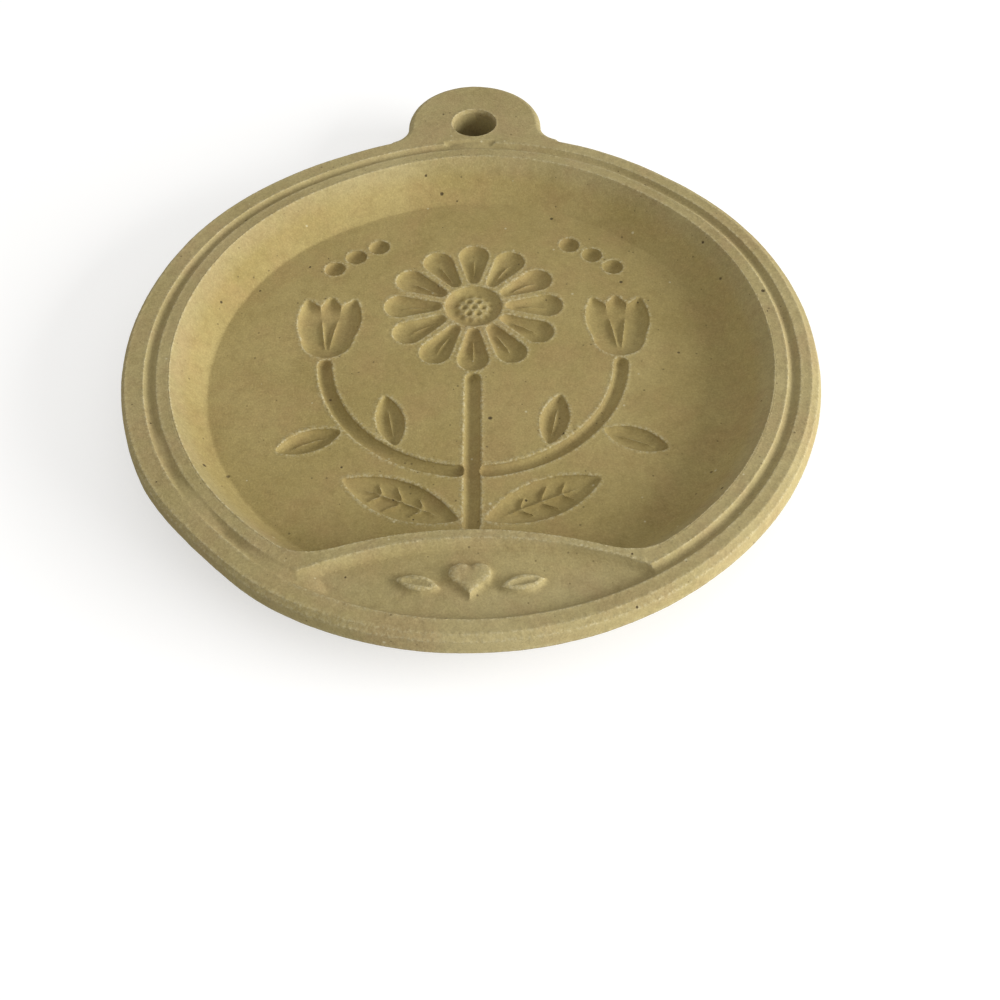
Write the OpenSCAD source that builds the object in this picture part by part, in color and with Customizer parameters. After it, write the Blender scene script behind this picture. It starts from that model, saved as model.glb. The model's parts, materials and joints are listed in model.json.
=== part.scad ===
// Round stoneware cookie mould with a hanging lug, lying face up.
// The origin is the centre of the flat back, +Z is the face, and +Y points to the lug.

/* [Disc] */
// Diameter of the round body, without the lug
disc_d = 151; // [140:1:165]
// Height of the rim above the table
rim_h = 14; // [12.5:0.5:18]
// Radius of the rounded outer edge
edge_round = 2.5; // [1.5:0.1:3.2]
// Distance from the outer edge in to the flat back that the mould lies on
foot_inset = 13.5; // [11:0.5:17]

/* [Rim] */
// Width of the flat band from the outer edge to the groove
band_w = 5.1; // [4:0.1:6]
// Width of the groove's outer slope
groove_outer_run = 1.4; // [1:0.1:2]
// Width of the groove's inner slope
groove_inner_run = 1.8; // [1:0.1:2.4]
// Depth of the groove, and of the small panel
groove_depth = 1.5; // [1:0.1:2]
// Width of the flat lip round the bowl
lip_w = 2.1; // [1.6:0.1:3]

/* [Bowl] */
// Depth of the bowl, from the lip to the picture field
bowl_depth = 7.5; // [6:0.25:8.5]
// Width of the bowl's sloping wall, seen from above
wall_run = 7.6; // [6.5:0.1:9]
// Radius of the wall's hollow curve
wall_hollow_r = 20; // [15:1:40]

/* [Divider ridge] */
// Height of the small panel with the ridge's flat top, from the groove's bottom up
panel_h = 19; // [17.5:0.1:20]
// Radius of the ridge's arc, seen from above
ridge_arc_r = 84; // [78:1:94]
// Width of the ridge's flat top
ridge_w = 2.1; // [1.6:0.1:2.6]
// Width of the ridge's slope towards the bowl
ridge_bowl_run = 3.5; // [2:0.1:4.5]
// Width of the ridge's slope towards the small panel
ridge_panel_run = 1.5; // [1:0.1:2]

/* [Hanging lug] */
// Distance from the disc's edge out to the centre of the hanging hole
lug_reach = 2.9; // [1:0.2:6]
// Diameter of the lug's round end
lug_d = 34.6; // [30:0.2:38]
// Radius of the hollow curve between lug and disc
lug_fillet_r = 5.5; // [3:0.5:9]
// How much narrower the lug is at its foot, all round
lug_taper = 1.6; // [0:0.2:3]
// Height of the neck between lug and disc
neck_h = 5.8; // [4.8:0.2:7]
// Diameter of the hanging hole
hole_d = 10.4; // [8:0.2:12]
// Extra width of the hole's softened mouth, all round
mouth_run = 1; // [0.5:0.1:1.5]
// Depth of the hole's softened mouth
mouth_depth = 1; // [0.5:0.1:1.5]
// Width of the gentle slope from the groove up to the lug
dip_run = 4.2; // [3:0.1:4.3]
// Length of this slope along the rim
dip_len = 15; // [10:0.5:19]

/* [Relief] */
// Radius of the floor that the sunken picture's sizes are drawn for
picture_r = 57.5; // [55:0.1:60]
// Thickness of the layer that the picture is sunk into
field_t = 2.2; // [2:0.1:2.8]
// Depth of the sunken picture
relief_depth = 1.6; // [1:0.1:1.7]
// Clay left between neighbouring sunken shapes
relief_gap = 1.2; // [0.8:0.1:1.6]
// Height of the ribs and buttons inside the sunken shapes
rib_h = 0.8; // [0.4:0.1:1]

/* [Flower] */
// Height of the flower's centre above the disc's centre
flower_y = 19; // [16:0.5:22]
// Radius of the flower, out to the petal tips
flower_r = 20.4; // [18:0.2:22]
// Number of petals
petal_count = 12; // [8:1:13]
// Radius of the round petal tips
petal_tip_r = 3.3; // [2.4:0.1:3.6]
// Width of a petal at the button
petal_base_w = 2.4; // [1.6:0.1:2.8]
// Radius of the flower's button
button_r = 6.4; // [5:0.2:7.5]

/* [Stems] */
// Width of the main stem
stem_w = 3.2; // [2.4:0.1:4]
// Width of the two side stems
branch_w = 2.8; // [2:0.1:3.4]
// Radius of the curve that the side stems follow
branch_r = 33; // [30:0.5:36]
// Height of the side stems' upper ends above the disc's centre
branch_y = 3; // [0:0.5:6]

/* [Tulips] */
// Height of a tulip
tulip_h = 19; // [16:0.5:21]
// Width of one tulip petal
tulip_petal_w = 7.6; // [6:0.2:9]
// Lean of a tulip's outer petals
tulip_lean = 17; // [12:1:22]
// Radius of a tulip's round cup
tulip_cup_r = 5.6; // [4.6:0.1:6.4]

/* [Leaves] */
// Length of a large leaf
leaf_len = 26; // [20:0.5:28]
// Width of a large leaf
leaf_w = 9; // [6:0.2:10]
// Distance of the large leaves' base below the disc's centre
leaf_drop = 42.5; // [40:0.5:44]
// Rise of a large leaf above the level
leaf_rise = 24; // [18:1:30]
// Length of a small leaf
small_leaf_len = 14; // [10:0.5:15]
// Width of a small leaf
small_leaf_w = 5.6; // [4:0.2:6.4]
// Width of the ribs along the leaves
rib_w = 0.9; // [0.6:0.1:1.4]

/* [Berries] */
// Number of berries on each side
berry_count = 3; // [2:1:4]
// Radius of a berry
berry_r = 2.2; // [1.6:0.1:2.6]
// Distance of the berries from the disc's centre
berry_reach = 46; // [43:0.5:49]
// Distance between the centres of neighbouring berries
berry_pitch = 6.4; // [6:0.1:7]

/* [Panel motif] */
// Height of the raised motif above the small panel
motif_h = 1.3; // [0.8:0.1:1.5]
// Distance from the groove's bottom up to the heart's middle
heart_inset = 7.5; // [6.5:0.1:8.5]
// Length of the heart's straight sides
heart_side = 4.8; // [4.2:0.1:5.2]
// How far the heart's round lobes stand proud of its straight sides
heart_swell = 0.2; // [0.1:0.1:0.6]
// Length of a panel leaf
panel_leaf_len = 9; // [7:0.5:11]
// Width of a panel leaf
panel_leaf_w = 4; // [3:0.2:5]
// Rise of a panel leaf above the level
panel_leaf_rise = 12; // [0:1:16]

/* [Hidden] */
$fn = 96;
eps = 1;
clay = [0.70, 0.64, 0.45];
clay_light = [0.78, 0.72, 0.52];
clay_dark = [0.58, 0.52, 0.34];

disc_r = disc_d / 2;
foot_r = disc_r - foot_inset;
edge_z = rim_h - edge_round;
core_r = disc_r - edge_round;
groove_r = disc_r - band_w - groove_outer_run;
lip_out_r = groove_r - groove_inner_run;
lip_in_r = lip_out_r - lip_w;
floor_r = lip_in_r - wall_run;
field_z = rim_h - bowl_depth;
slab_t = field_z - field_t;
sunk_t = field_t - relief_depth;
panel_z = rim_h - groove_depth;

// The side of the body runs from the foot to where it touches the rounded edge
side_reach = sqrt(pow(core_r - foot_r, 2) + pow(edge_z, 2));
side_angle = atan2(edge_z, core_r - foot_r) - asin(edge_round / side_reach);
side_len = sqrt(pow(side_reach, 2) - pow(edge_round, 2));

// The wall's hollow curve is an arc through the lip's edge and the foot of the wall
wall_steps = 12;
wall_chord = sqrt(pow(wall_run, 2) + pow(bowl_depth, 2));
wall_rise = sqrt(pow(wall_hollow_r, 2) - pow(wall_chord / 2, 2));
wall_centre = [
    (floor_r + lip_in_r) / 2 - wall_rise * bowl_depth / wall_chord,
    (field_z + rim_h) / 2 + wall_rise * wall_run / wall_chord
];
wall_top_angle = atan2(rim_h - wall_centre.y, lip_in_r - wall_centre.x);
wall_foot_angle = atan2(field_z - wall_centre.y, floor_r - wall_centre.x);
wall_turn = (wall_foot_angle - wall_top_angle) / wall_steps;
wall_curve = [
    for (i = [1 : wall_steps - 1])
        wall_centre + wall_hollow_r * [cos(wall_top_angle + i * wall_turn), sin(wall_top_angle + i * wall_turn)]
];

ridge_peak = groove_r - panel_h;
ridge_axis_y = -(ridge_peak + ridge_arc_r);
ridge_foot_r = ridge_arc_r + ridge_bowl_run;
panel_edge_r = ridge_arc_r - ridge_w - ridge_panel_run;

lug_y = disc_r + lug_reach;
lug_r = lug_d / 2;
// The gentle slope starts just short of the groove's bottom, at its own two ends
dip_start = 0.3;
dip_foot_y = sqrt(pow(groove_r, 2) - pow(dip_len / 2, 2)) - dip_start;
hole_r = hole_d / 2;
// The centres of the two fillets lie at known distances from the disc's and the lug's centre
fillet_reach = disc_r + lug_fillet_r;
fillet_cos = (pow(fillet_reach, 2) + pow(lug_y, 2) - pow(lug_r + lug_fillet_r, 2))
    / (2 * fillet_reach * lug_y);
fillet_angle = acos(fillet_cos);
fillet_x = fillet_reach * sin(fillet_angle);
fillet_y = fillet_reach * cos(fillet_angle);

picture_fit = floor_r / picture_r;
stem_top = flower_y - flower_r - relief_gap;
stem_foot = -picture_r;
leaf_start = stem_w / 2 + relief_gap;
branch_side = branch_w / 2 + relief_gap;
outer_leaf_angle = 38;
outer_leaf_turn_angle = -22;
inner_leaf_angle = 58;
inner_leaf_turn_angle = 78;
berry_first_angle = 44;
berry_step_angle = berry_pitch / berry_reach * 180 / PI;
heart_half = heart_side / sqrt(2);
heart_lobe_r = heart_side / 2 + heart_swell;
panel_leaf_start = heart_lobe_r + heart_half / 2 + relief_gap;

// Half section of the body with a flat top
module body_section() {
    translate([core_r, edge_z])
        circle(r = edge_round);
    polygon([
        [0, 0], [foot_r, 0],
        [foot_r + side_len * cos(side_angle), side_len * sin(side_angle)],
        [core_r, edge_z], [core_r, rim_h], [0, rim_h]
    ]);
}

// The V groove between the flat band and the lip
module groove_section() {
    polygon([
        [groove_r, panel_z],
        [groove_r + groove_outer_run * (1 + eps), panel_z + groove_depth * (1 + eps)],
        [groove_r - groove_inner_run * (1 + eps), panel_z + groove_depth * (1 + eps)]
    ]);
}

// The part of the section between two radii and two heights, without the groove
module rim_strip(r0, r1, z0, z1) {
    intersection() {
        difference() {
            body_section();
            groove_section();
        }
        translate([r0, z0])
            square([r1 - r0, z1 - z0]);
    }
}

// The bowl's hollow wall, as a section
module wall_section() {
    polygon(concat(
        [[floor_r, slab_t], [lip_in_r, slab_t], [lip_in_r, rim_h]],
        wall_curve,
        [[floor_r, field_z]]
    ));
}

// Turns a section about the ridge's own axis
module about_ridge_axis() {
    translate([0, ridge_axis_y, 0])
        rotate_extrude($fn = 360)
            children();
}

// The ridge and all that lies on its panel side
module ridge_cutter() {
    about_ridge_axis()
        polygon([
            [0, slab_t - eps], [ridge_foot_r, slab_t - eps], [ridge_foot_r, field_z],
            [ridge_arc_r, rim_h], [ridge_arc_r, rim_h + eps], [0, rim_h + eps]
        ]);
}

// The gentle slope that takes the groove's outer wall up to the lug
module lug_dip() {
    rotate([90, 0, 90])
        linear_extrude(dip_len, center = true)
            polygon([
                [dip_foot_y, panel_z],
                [dip_foot_y + dip_run * (1 + eps), panel_z + groove_depth * (1 + eps)],
                [dip_foot_y, panel_z + groove_depth * (1 + eps)]
            ]);
}

// The disc's part of the neck, which the lug leaves free
module disc_core() {
    rotate_extrude($fn = 360) {
        intersection() {
            body_section();
            square([core_r, rim_h]);
        }
        translate([0, edge_z])
            square([core_r, edge_round + eps]);
    }
}

// What is cut away at a fillet: its hollow curve and the rounded upper edge
module fillet_cutter() {
    rotate_extrude() {
        translate([0, -eps])
            square([lug_fillet_r, edge_z + eps]);
        difference() {
            translate([0, edge_z])
                square([lug_fillet_r + edge_round, edge_round + eps]);
            translate([lug_fillet_r + edge_round, edge_z])
                circle(r = edge_round);
        }
    }
}

// A leaf with two pointed ends, from the origin along +X
module leaf_outline(len, w) {
    arc_r = (pow(len, 2) + pow(w, 2)) / (4 * w);
    intersection() {
        translate([len / 2, w / 2 - arc_r])
            circle(r = arc_r);
        translate([len / 2, arc_r - w / 2])
            circle(r = arc_r);
    }
}

// A petal with a round tip, along +X from the flower's centre
module petal_outline() {
    tip_x = flower_r - petal_tip_r;
    start_x = button_r + relief_gap;
    translate([tip_x, 0])
        circle(r = petal_tip_r);
    polygon([
        [start_x, -petal_base_w / 2], [tip_x, -petal_tip_r],
        [tip_x, petal_tip_r], [start_x, petal_base_w / 2]
    ]);
}

module petals_outline() {
    for (i = [0 : petal_count - 1])
        rotate(90 + i * 360 / petal_count)
            petal_outline();
}

// A tulip from the origin along +Y
module tulip_outline() {
    translate([0, tulip_cup_r])
        circle(r = tulip_cup_r);
    for (turn = [90 - tulip_lean, 90, 90 + tulip_lean])
        rotate(turn)
            leaf_outline(tulip_h, tulip_petal_w);
}

// One side stem, to the right of the main stem
module branch_outline() {
    intersection() {
        translate([0, branch_y])
            difference() {
                circle(r = branch_r + branch_w / 2);
                circle(r = branch_r - branch_w / 2);
            }
        translate([stem_w / 2, branch_y - 2 * branch_r])
            square([2 * branch_r, 2 * branch_r - relief_gap]);
    }
}

// The part of the floor that may hold sunken shapes
module field_outline() {
    difference() {
        circle(r = floor_r - relief_gap);
        translate([0, ridge_axis_y])
            circle(r = ridge_foot_r + relief_gap, $fn = 360);
    }
}

// Places a shape on a side stem, at an angle below its upper end
module on_branch(angle, side, turn_angle) {
    translate([0, branch_y])
        rotate(-angle)
            translate([branch_r + side, 0])
                rotate(angle + turn_angle)
                    children();
}

module large_leaf_place() {
    translate([leaf_start, -leaf_drop])
        rotate(leaf_rise)
            children();
}

module outer_leaf_place() {
    on_branch(outer_leaf_angle, branch_side, outer_leaf_turn_angle)
        children();
}

module inner_leaf_place() {
    on_branch(inner_leaf_angle, -branch_side, inner_leaf_turn_angle)
        children();
}

module berries_outline() {
    for (i = [0 : berry_count - 1])
        rotate(berry_first_angle + i * berry_step_angle)
            translate([berry_reach, 0])
                circle(r = berry_r);
}

// All sunken shapes to the right of the middle
module right_outlines() {
    branch_outline();
    translate([branch_r, branch_y])
        tulip_outline();
    large_leaf_place()
        leaf_outline(leaf_len, leaf_w);
    outer_leaf_place()
        leaf_outline(small_leaf_len, small_leaf_w);
    inner_leaf_place()
        leaf_outline(small_leaf_len, small_leaf_w);
    berries_outline();
}

module stem_outline() {
    translate([-stem_w / 2, stem_foot])
        square([stem_w, stem_top - stem_foot]);
}

// All sunken shapes of the picture
module picture_outline() {
    translate([0, flower_y]) {
        circle(r = button_r);
        petals_outline();
    }
    stem_outline();
    right_outlines();
    mirror([1, 0])
        right_outlines();
}

// Fits sunken shapes to the floor and keeps them clear of its edge
module in_field() {
    intersection() {
        scale(picture_fit)
            children();
        field_outline();
    }
}

// The floor of a sunken shape
module sunk_floor() {
    translate([0, 0, slab_t])
        linear_extrude(sunk_t)
            in_field()
                children();
}

// A rib or button that stands on the floor of a sunken shape
module sunk_rib() {
    translate([0, 0, slab_t + sunk_t])
        linear_extrude(rib_h)
            in_field()
                children();
}

// The rib along a leaf, clear of its two points
module rib_outline(len) {
    translate([len / 5, -rib_w / 2])
        square([len * 3 / 5, rib_w]);
}

module base_slab() {
    color(clay_dark)
        rotate_extrude($fn = 360)
            rim_strip(0, disc_r, 0, slab_t);
}

module outer_rim() {
    color(clay)
        difference() {
            rotate_extrude($fn = 360)
                rim_strip(groove_r, disc_r + eps, slab_t, rim_h);
            lug_dip();
            neck_block();
        }
}

// The sector of the rim that belongs to the lug, outside the disc's core
module neck_block() {
    translate([0, 0, -eps])
        difference() {
            linear_extrude(rim_h + 2 * eps)
                polygon([[0, 0], [2 * fillet_x, 2 * fillet_y], [-2 * fillet_x, 2 * fillet_y]]);
            translate([0, 0, -eps])
                cylinder(r = core_r, h = rim_h + 4 * eps, $fn = 360);
        }
}

module inner_lip() {
    color(clay_light)
        difference() {
            rotate_extrude($fn = 360)
                rim_strip(lip_in_r, groove_r, slab_t, rim_h);
            ridge_cutter();
        }
}

module bowl_wall() {
    color(clay)
        difference() {
            rotate_extrude($fn = 360)
                wall_section();
            ridge_cutter();
        }
}

module divider_ridge() {
    color(clay_light)
        intersection() {
            about_ridge_axis()
                polygon([
                    [panel_edge_r, slab_t], [ridge_foot_r, slab_t], [ridge_foot_r, field_z],
                    [ridge_arc_r, rim_h], [ridge_arc_r - ridge_w, rim_h], [panel_edge_r, panel_z]
                ]);
            rotate_extrude($fn = 360)
                rim_strip(0, groove_r, slab_t, rim_h);
        }
}

module lower_panel() {
    color(clay)
        intersection() {
            about_ridge_axis()
                translate([0, slab_t])
                    square([panel_edge_r, panel_z - slab_t]);
            rotate_extrude($fn = 360)
                rim_strip(0, groove_r, slab_t, rim_h);
        }
}

module lug_boss() {
    translate([0, lug_y, 0])
        rotate_extrude() {
            polygon([
                [0, 0], [lug_r - lug_taper, 0], [lug_r, edge_z],
                [lug_r - edge_round, edge_z], [lug_r - edge_round, rim_h], [0, rim_h]
            ]);
            intersection() {
                translate([lug_r - edge_round, edge_z])
                    circle(r = edge_round);
                translate([0, edge_z])
                    square([lug_r + edge_round, edge_round]);
            }
        }
}

module lug_neck() {
    difference() {
        translate([0, 0, rim_h - neck_h])
            linear_extrude(neck_h)
                polygon([[0, 0], [fillet_x, fillet_y], [0, lug_y], [-fillet_x, fillet_y]]);
        for (side = [-1, 1])
            translate([side * fillet_x, fillet_y, 0])
                fillet_cutter();
    }
}

module hanging_lug() {
    color(clay)
        difference() {
            union() {
                lug_boss();
                lug_neck();
            }
            disc_core();
            lug_dip();
            translate([0, lug_y, 0]) {
                translate([0, 0, -eps])
                    cylinder(r = hole_r, h = rim_h + 2 * eps);
                translate([0, 0, rim_h - mouth_depth])
                    cylinder(
                        r1 = hole_r, r2 = hole_r + mouth_run * (1 + eps),
                        h = mouth_depth * (1 + eps)
                    );
            }
        }
}

module picture_field() {
    color(clay)
        difference() {
            translate([0, 0, slab_t])
                cylinder(r = floor_r, h = field_t, $fn = 360);
            ridge_cutter();
            translate([0, 0, slab_t - eps])
                linear_extrude(field_t + 2 * eps)
                    in_field()
                        picture_outline();
        }
}

module flower_button() {
    color(clay_light) {
        sunk_floor()
            translate([0, flower_y])
                circle(r = button_r);
        sunk_rib()
            translate([0, flower_y])
                circle(r = button_r - relief_gap);
    }
}

module flower_petals() {
    color(clay_dark)
        sunk_floor()
            translate([0, flower_y])
                petals_outline();
}

module main_stem() {
    color(clay_dark)
        sunk_floor()
            stem_outline();
}

module side_stem() {
    color(clay_dark)
        sunk_floor()
            branch_outline();
}

module tulip() {
    color(clay_dark) {
        sunk_floor()
            translate([branch_r, branch_y])
                tulip_outline();
        sunk_rib()
            translate([branch_r, branch_y])
                for (turn = [90 - tulip_lean / 2, 90 + tulip_lean / 2])
                    rotate(turn)
                        rib_outline(tulip_h);
    }
}

module large_leaf() {
    color(clay_dark) {
        sunk_floor()
            large_leaf_place()
                leaf_outline(leaf_len, leaf_w);
        sunk_rib()
            large_leaf_place()
                rib_outline(leaf_len);
    }
}

module small_leaves() {
    color(clay_dark) {
        sunk_floor() {
            outer_leaf_place()
                leaf_outline(small_leaf_len, small_leaf_w);
            inner_leaf_place()
                leaf_outline(small_leaf_len, small_leaf_w);
        }
        sunk_rib() {
            outer_leaf_place()
                rib_outline(small_leaf_len);
            inner_leaf_place()
                rib_outline(small_leaf_len);
        }
    }
}

module berries() {
    color(clay_light)
        sunk_floor()
            berries_outline();
}

// A shape that stands on the small panel
module panel_raised() {
    color(clay_light)
        translate([0, heart_inset - groove_r, panel_z])
            linear_extrude(motif_h)
                children();
}

module panel_heart() {
    panel_raised() {
        for (side = [-1, 1])
            translate([side * heart_half / 2, heart_half / 2])
                circle(r = heart_lobe_r);
        rotate(45)
            square(heart_side, center = true);
    }
}

module panel_leaf() {
    panel_raised()
        translate([panel_leaf_start, -heart_lobe_r / 2])
            rotate(panel_leaf_rise)
                leaf_outline(panel_leaf_len, panel_leaf_w);
}

base_slab();
outer_rim();
inner_lip();
bowl_wall();
divider_ridge();
lower_panel();
hanging_lug();
picture_field();
flower_button();
flower_petals();
main_stem();
mirror([1, 0, 0]) side_stem();  // side_stem_left
side_stem();  // side_stem_right
mirror([1, 0, 0]) tulip();  // tulip_left
tulip();  // tulip_right
mirror([1, 0, 0]) large_leaf();  // large_leaf_left
large_leaf();  // large_leaf_right
mirror([1, 0, 0]) small_leaves();  // small_leaves_left
small_leaves();  // small_leaves_right
mirror([1, 0, 0]) berries();  // berries_left
berries();  // berries_right
panel_heart();
mirror([1, 0, 0]) panel_leaf();  // panel_leaf_left
panel_leaf();  // panel_leaf_right
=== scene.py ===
import json
import math

import bpy
import numpy
from mathutils import Matrix, Vector

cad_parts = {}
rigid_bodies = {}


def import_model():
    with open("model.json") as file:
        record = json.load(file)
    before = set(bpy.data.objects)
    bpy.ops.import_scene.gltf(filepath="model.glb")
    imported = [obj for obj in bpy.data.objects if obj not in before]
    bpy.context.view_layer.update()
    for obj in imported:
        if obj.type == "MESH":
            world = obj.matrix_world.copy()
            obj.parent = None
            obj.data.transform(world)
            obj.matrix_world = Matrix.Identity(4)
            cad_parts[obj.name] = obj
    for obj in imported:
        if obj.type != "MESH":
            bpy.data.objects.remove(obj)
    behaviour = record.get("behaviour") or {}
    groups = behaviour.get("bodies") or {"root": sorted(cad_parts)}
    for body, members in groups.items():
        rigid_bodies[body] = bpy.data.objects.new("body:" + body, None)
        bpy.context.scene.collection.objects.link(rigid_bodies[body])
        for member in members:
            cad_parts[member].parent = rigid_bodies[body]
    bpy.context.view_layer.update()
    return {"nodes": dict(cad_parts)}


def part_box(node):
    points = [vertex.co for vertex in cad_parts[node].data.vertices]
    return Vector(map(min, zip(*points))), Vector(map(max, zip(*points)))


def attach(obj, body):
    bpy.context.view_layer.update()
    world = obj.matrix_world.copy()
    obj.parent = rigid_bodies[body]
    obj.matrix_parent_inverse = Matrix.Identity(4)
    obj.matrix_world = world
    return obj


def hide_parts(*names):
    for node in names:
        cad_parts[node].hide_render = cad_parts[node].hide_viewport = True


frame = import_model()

bl_info = {
    "name": "Stoneware Cookie Mould",
    "version": (1, 0, 0),
    "blender": (4, 5, 0),
    "location": "View3D > Sidebar > Cookie Mould",
    "description": "Models a round stoneware cookie mould with a sunken flower picture",
    "category": "Object",
}

MM = 0.001
ABOVE = 1 * MM

# Places that the frame gives
RIM_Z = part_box("outer_rim")[1].z
DISC_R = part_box("outer_rim")[1].x
GROOVE_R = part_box("inner_lip")[1].x
LIP_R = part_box("bowl_wall")[1].x
FLOOR_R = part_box("picture_field")[1].x
FIELD_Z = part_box("picture_field")[1].z
SLAB_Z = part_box("base_slab")[1].z
PANEL_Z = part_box("lower_panel")[1].z
LUG_END_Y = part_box("hanging_lug")[1].y
RIDGE_FOOT_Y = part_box("divider_ridge")[1].y


def length(name, description, default, low=0.0, high=1.0):
    """A size in metres that the sidebar shows in the scene's own unit."""
    return bpy.props.FloatProperty(
        name=name, description=description, default=default, min=low, max=high,
        unit="LENGTH", precision=4,
    )


def colour(name, description, default):
    """A linear colour."""
    return bpy.props.FloatVectorProperty(
        name=name, description=description, default=default, min=0, max=1,
        size=3, subtype="COLOR",
    )


def angle(name, description, degrees):
    """An angle that the sidebar shows in degrees."""
    return bpy.props.FloatProperty(
        name=name, description=description, default=math.radians(degrees), subtype="ANGLE",
    )


class MouldBodySizes(bpy.types.PropertyGroup):
    """Sizes of the clay body."""

    foot_inset: length("Foot inset", "From the outer edge in to the flat back", 13.5 * MM)
    foot_bevel: length("Foot bevel", "Softened edge of the flat back", 0.9 * MM)
    edge_round: length("Lug edge", "Radius of the lug's rounded edge", 2.0 * MM)
    bevel_w: length("Bevel width", "Width of the worn bevel at its widest", 1.7 * MM)
    bevel_drop: length("Bevel drop", "How far the worn bevel falls", 0.9 * MM)
    side_w: length("Side width", "From the bevel's lower edge out to the widest place", 1.1 * MM)
    side_drop: length("Side drop", "From the rim's top down to the widest place", 3.7 * MM)
    bevel_shift: bpy.props.FloatVectorProperty(
        name="Bevel shift", description="How far the flat band lies off the disc's centre",
        default=(-0.8 * MM, 0.1 * MM), size=2, subtype="TRANSLATION",
    )
    groove_outer_run: length("Groove outer slope", "Width of the groove's outer slope", 1.15 * MM)
    groove_inner_run: length("Groove inner slope", "Width of the groove's inner slope", 1.35 * MM)
    groove_floor: length("Groove floor", "Width of the groove's worn bottom", 0.4 * MM)
    groove_fill: length("Groove fill", "How far the groove's bottom lies above the small panel", 0.6 * MM)
    fill_w: length("Groove fill width", "Width of the clay that half fills the groove in places", 10 * MM)
    wall_hollow_r: length("Wall hollow", "Radius of the bowl wall's hollow curve", 45 * MM)
    lip_in: length("Lip growth", "How far the lip reaches in over the bowl wall", 0.4 * MM)
    floor_shift: bpy.props.FloatVectorProperty(
        name="Floor shift", description="How far the bowl's floor lies off the rim's centre",
        default=(-0.6 * MM, -2.0 * MM), size=2, subtype="TRANSLATION",
    )
    ridge_arc_r: length("Ridge radius", "Radius of the ridge's arc, seen from above", 84 * MM)
    ridge_w: length("Ridge width", "Width of the ridge's flat top", 2.1 * MM)
    ridge_bowl_run: length("Ridge bowl slope", "Width of the slope to the bowl", 3.5 * MM)
    ridge_panel_run: length("Ridge panel slope", "Width of the slope to the panel", 1.5 * MM)
    panel_shift: length("Panel shift", "How far the panel's arc lies to the right of the ridge's", 3 * MM)
    panel_top_shift: length("Panel top shift", "The same for the upper edge of its slope", 1.6 * MM)
    corner_blend: length("Bowl corner blend", "Softness of the bowl's two corners", 5.2 * MM)
    lug_r: length("Lug radius", "Radius of the lug's round end", 17.3 * MM)
    lug_taper: length("Lug taper", "How much narrower the lug is at its foot", 1.6 * MM)
    lug_fillet_r: length("Lug fillet", "Radius of the curve between lug and disc", 5.5 * MM)
    neck_h: length("Neck height", "Height of the neck between lug and disc", 5.8 * MM)
    hole_r: length("Hole radius", "Radius of the hanging hole", 5.2 * MM)
    mouth_run: length("Hole mouth", "Extra radius of the hole's worn mouth", 0.4 * MM)
    mouth_depth: length("Hole mouth depth", "Depth of the hole's worn mouth", 0.9 * MM)
    mouth_shift: bpy.props.FloatVectorProperty(
        name="Mouth shift", description="How far the worn mouth lies off the hole's centre",
        default=(-0.1 * MM, 0.15 * MM), size=2, subtype="TRANSLATION",
    )
    dip_run: length("Dip width", "Width of the gentle slope from the groove up to the lug", 2.4 * MM)
    dip_len: length("Dip length", "Length of this slope along the rim", 9 * MM)
    dip_end: length("Dip end", "How gently this slope runs out at its two ends", 4 * MM)
    dip_shift: length("Dip place", "How far this slope lies to the left", 1.2 * MM)


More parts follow.
